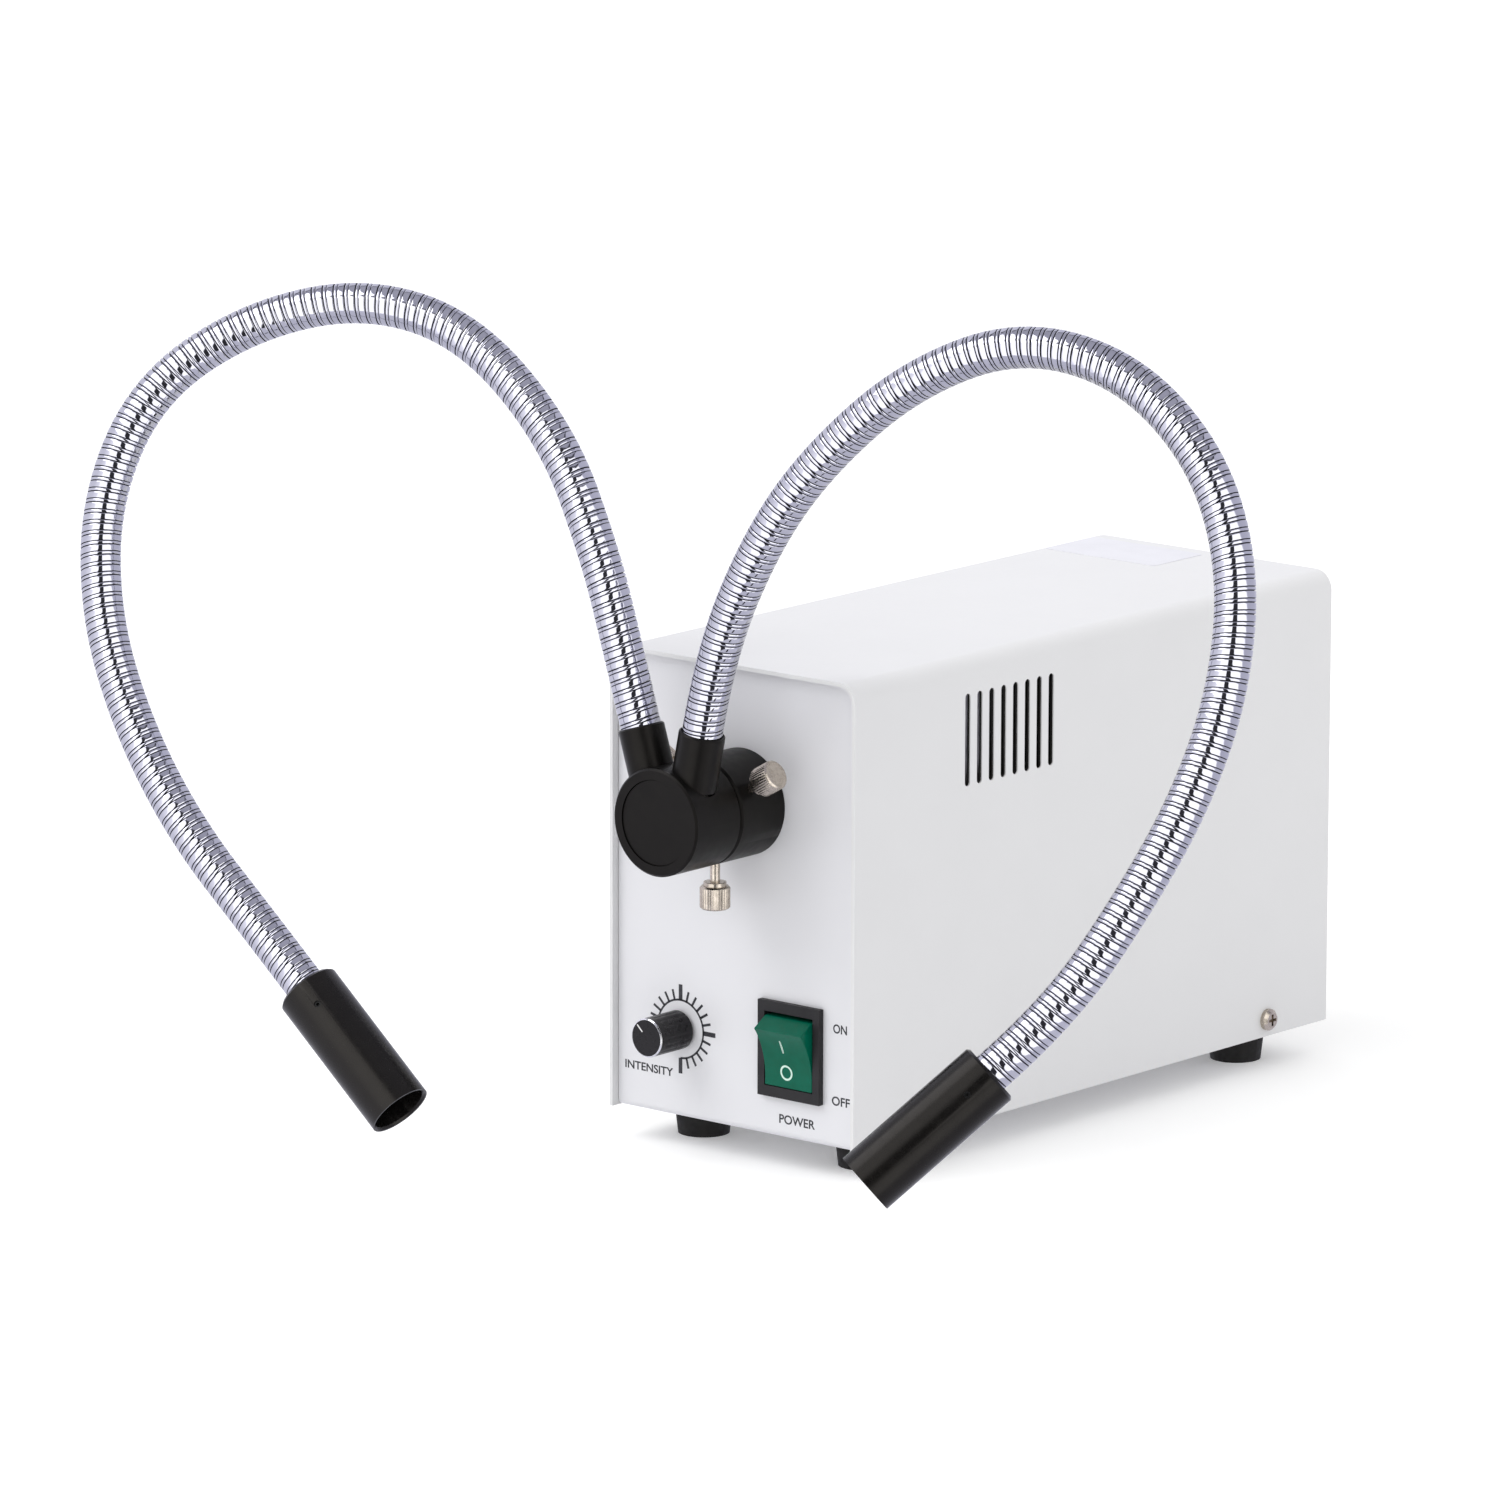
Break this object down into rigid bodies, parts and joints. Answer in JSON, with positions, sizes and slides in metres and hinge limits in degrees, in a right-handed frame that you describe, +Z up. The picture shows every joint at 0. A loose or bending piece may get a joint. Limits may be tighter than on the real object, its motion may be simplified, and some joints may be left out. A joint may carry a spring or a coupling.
{
  "type": "fiber optic illuminator",
  "caption": "Bench light source in a white sheet-metal box with a dimmer knob, a rocker switch and a dual gooseneck light guide clamped in its front port.",
  "frame": {"origin": "on the bench, under the middle of the cabinet's plan", "axes": "+Z up, +X to the right seen from the front, -Y out of the front panel"},
  "size_m": [0.3631, 0.3441, 0.263],
  "materials": {
    "white_enamel": "powder coat, fine texture, satin",
    "panel_enamel": "smooth enamel, satin",
    "black_rubber": "moulded rubber",
    "nickel": "nickel plated",
    "zinc_steel": "zinc plated",
    "black_anodised": "black anodised, satin",
    "tip_black": "black anodised, satin",
    "chrome_hose": "polished chrome",
    "black_abs": "moulded, fine texture",
    "green_polycarbonate": "moulded, glossy, translucent green",
    "knob_black": "moulded, satin with a turned rim",
    "optical_glass": "polished",
    "fibre_glass": "polished bundle in a black sheath",
    "sink_aluminium": "extruded",
    "circuit_laminate": "solder mask",
    "led_phosphor": "cast silicone",
    "transformer_tape": "polyester tape over ferrite",
    "capacitor_sleeve": "shrunk sleeve",
    "brass_pins": "bright",
    "lead_pvc": "extruded",
    "fuse_glass": "drawn tube with metal caps"
  },
  "bodies": {
    "root": {"cover": "white_enamel", "base_chassis": "panel_enamel", "rubber_feet": "black_rubber", "foot_screws": "zinc_steel", "cover_screws": "nickel", "port_collar": "black_anodised", "port_ring_nut": "black_anodised", "lens_barrel": "black_anodised", "condenser_lens": "optical_glass", "led_board": "sink_aluminium", "led_emitter": "led_phosphor", "heat_sink": "sink_aluminium", "heat_sink_bracket": "zinc_steel", "bracket_screws": "zinc_steel", "fan_frame": "black_abs", "fan_guard": "nickel", "fan_screws": "nickel", "power_board": "circuit_laminate", "board_standoffs": "brass_pins", "board_screws": "zinc_steel", "board_transformer": "transformer_tape", "board_capacitors": "capacitor_sleeve", "board_fuse": "fuse_glass", "board_terminals": "circuit_laminate", "mains_inlet": "black_abs", "inlet_pins": "brass_pins", "inlet_screws": "zinc_steel", "switch_housing": "black_abs", "switch_terminals": "brass_pins", "potentiometer": "zinc_steel", "mains_lead": "lead_pvc", "board_leads": "lead_pvc"},
    "knob": {"intensity_knob": "knob_black", "potentiometer_shaft": "zinc_steel"},
    "rocker": {"switch_rocker": "green_polycarbonate"},
    "rotor": {"fan_rotor": "black_abs"},
    "guide_spigot": {"input_ferrule": "nickel"},
    "guide_hub": {"hub_body": "black_anodised", "hub_cap": "black_anodised", "left_ferrule": "black_anodised", "right_ferrule": "black_anodised", "guide_fibres": "fibre_glass"},
    "left_arm": {"left_gooseneck": "chrome_hose", "left_fibres": "fibre_glass"},
    "left_tip": {"left_tip_tube": "tip_black", "left_tip_lens": "optical_glass", "left_tip_fibres": "fibre_glass", "left_tip_grub_screw": "zinc_steel"},
    "right_arm": {"right_gooseneck": "chrome_hose", "right_fibres": "fibre_glass"},
    "right_tip": {"right_tip_tube": "tip_black", "right_tip_lens": "optical_glass", "right_tip_fibres": "fibre_glass", "right_tip_grub_screw": "zinc_steel"},
    "upper_stud": {"upper_thumb_screw_stud": "nickel"},
    "upper_screw_head": {"upper_thumb_screw_head": "nickel"},
    "left_stud": {"left_thumb_screw_stud": "nickel"},
    "left_screw_head": {"left_thumb_screw_head": "nickel"},
    "lower_stud": {"lower_thumb_screw_stud": "nickel"},
    "lower_screw_head": {"lower_thumb_screw_head": "nickel"}
  },
  "joints": [
    {"name": "intensity_turn", "type": "hinge", "parent": "root", "child": "knob", "pos_m": [-0.0215, -0.1109, 0.0368], "axis": [0, 1, 0], "range_deg": [-45, 225]},
    {"name": "power_rock", "type": "hinge", "parent": "root", "child": "rocker", "pos_m": [0.0216, -0.1083, 0.0368], "axis": [-1, 0, 0], "range_deg": [0, 32]},
    {"name": "fan_spin", "type": "hinge", "parent": "root", "child": "rotor", "pos_m": [0, 0.1019, 0.107], "axis": [0, 1, 0], "continuous": true},
    {"name": "guide_insertion", "type": "slide", "parent": "root", "child": "guide_spigot", "axis": [0, -1, 0], "range_m": [0, 0.02]},
    {"name": "guide_swivel", "type": "hinge", "parent": "guide_spigot", "child": "guide_hub", "pos_m": [0.0024, -0.1359, 0.109], "axis": [0, -1, 0], "range_deg": [-8, 40]},
    {"name": "upper_screw_travel", "type": "slide", "parent": "root", "child": "upper_stud", "axis": [0.866, 0, 0.5], "range_m": [0, 0.003]},
    {"name": "upper_screw_turn", "type": "hinge", "parent": "upper_stud", "child": "upper_screw_head", "pos_m": [0.01972, -0.1235, 0.119], "axis": [0.866, 0, 0.5], "range_deg": [0, 2160]},
    {"name": "left_screw_travel", "type": "slide", "parent": "root", "child": "left_stud", "axis": [-0.866, 0, 0.5], "range_m": [0, 0.003]},
    {"name": "left_screw_turn", "type": "hinge", "parent": "left_stud", "child": "left_screw_head", "pos_m": [-0.01492, -0.1235, 0.119], "axis": [-0.866, 0, 0.5], "range_deg": [0, 2160]},
    {"name": "lower_screw_travel", "type": "slide", "parent": "root", "child": "lower_stud", "axis": [0, 0, -1], "range_m": [0, 0.003]},
    {"name": "lower_screw_turn", "type": "hinge", "parent": "lower_stud", "child": "lower_screw_head", "pos_m": [0.0024, -0.1235, 0.089], "axis": [0, 0, -1], "range_deg": [0, 2160]},
    {"name": "left_arm_bend", "type": "hinge", "parent": "guide_hub", "child": "left_arm", "pos_m": [-0.01072, -0.1415, 0.13464], "axis": [1, 0, 0], "range_deg": [-15, 10]},
    {"name": "left_tip_aim", "type": "hinge", "parent": "left_arm", "child": "left_tip", "pos_m": [-0.07172, -0.2191, 0.06064], "axis": [0.0199, -0.9998, 0], "range_deg": [-15, 15]},
    {"name": "right_arm_bend", "type": "hinge", "parent": "guide_hub", "child": "right_arm", "pos_m": [0.01277, -0.1415, 0.13587], "axis": [1, 0, 0], "range_deg": [-15, 10]},
    {"name": "right_tip_aim", "type": "hinge", "parent": "right_arm", "child": "right_tip", "pos_m": [0.15517, -0.1839, 0.06487], "axis": [-0.7733, 0.6341, 0], "range_deg": [-15, 15]}
  ],
  "couplings": [
    {"joint": "upper_screw_turn", "follows": "upper_screw_travel", "rad_per_m": 12566},
    {"joint": "left_screw_turn", "follows": "left_screw_travel", "rad_per_m": 12566},
    {"joint": "lower_screw_turn", "follows": "lower_screw_travel", "rad_per_m": 12566}
  ]
}
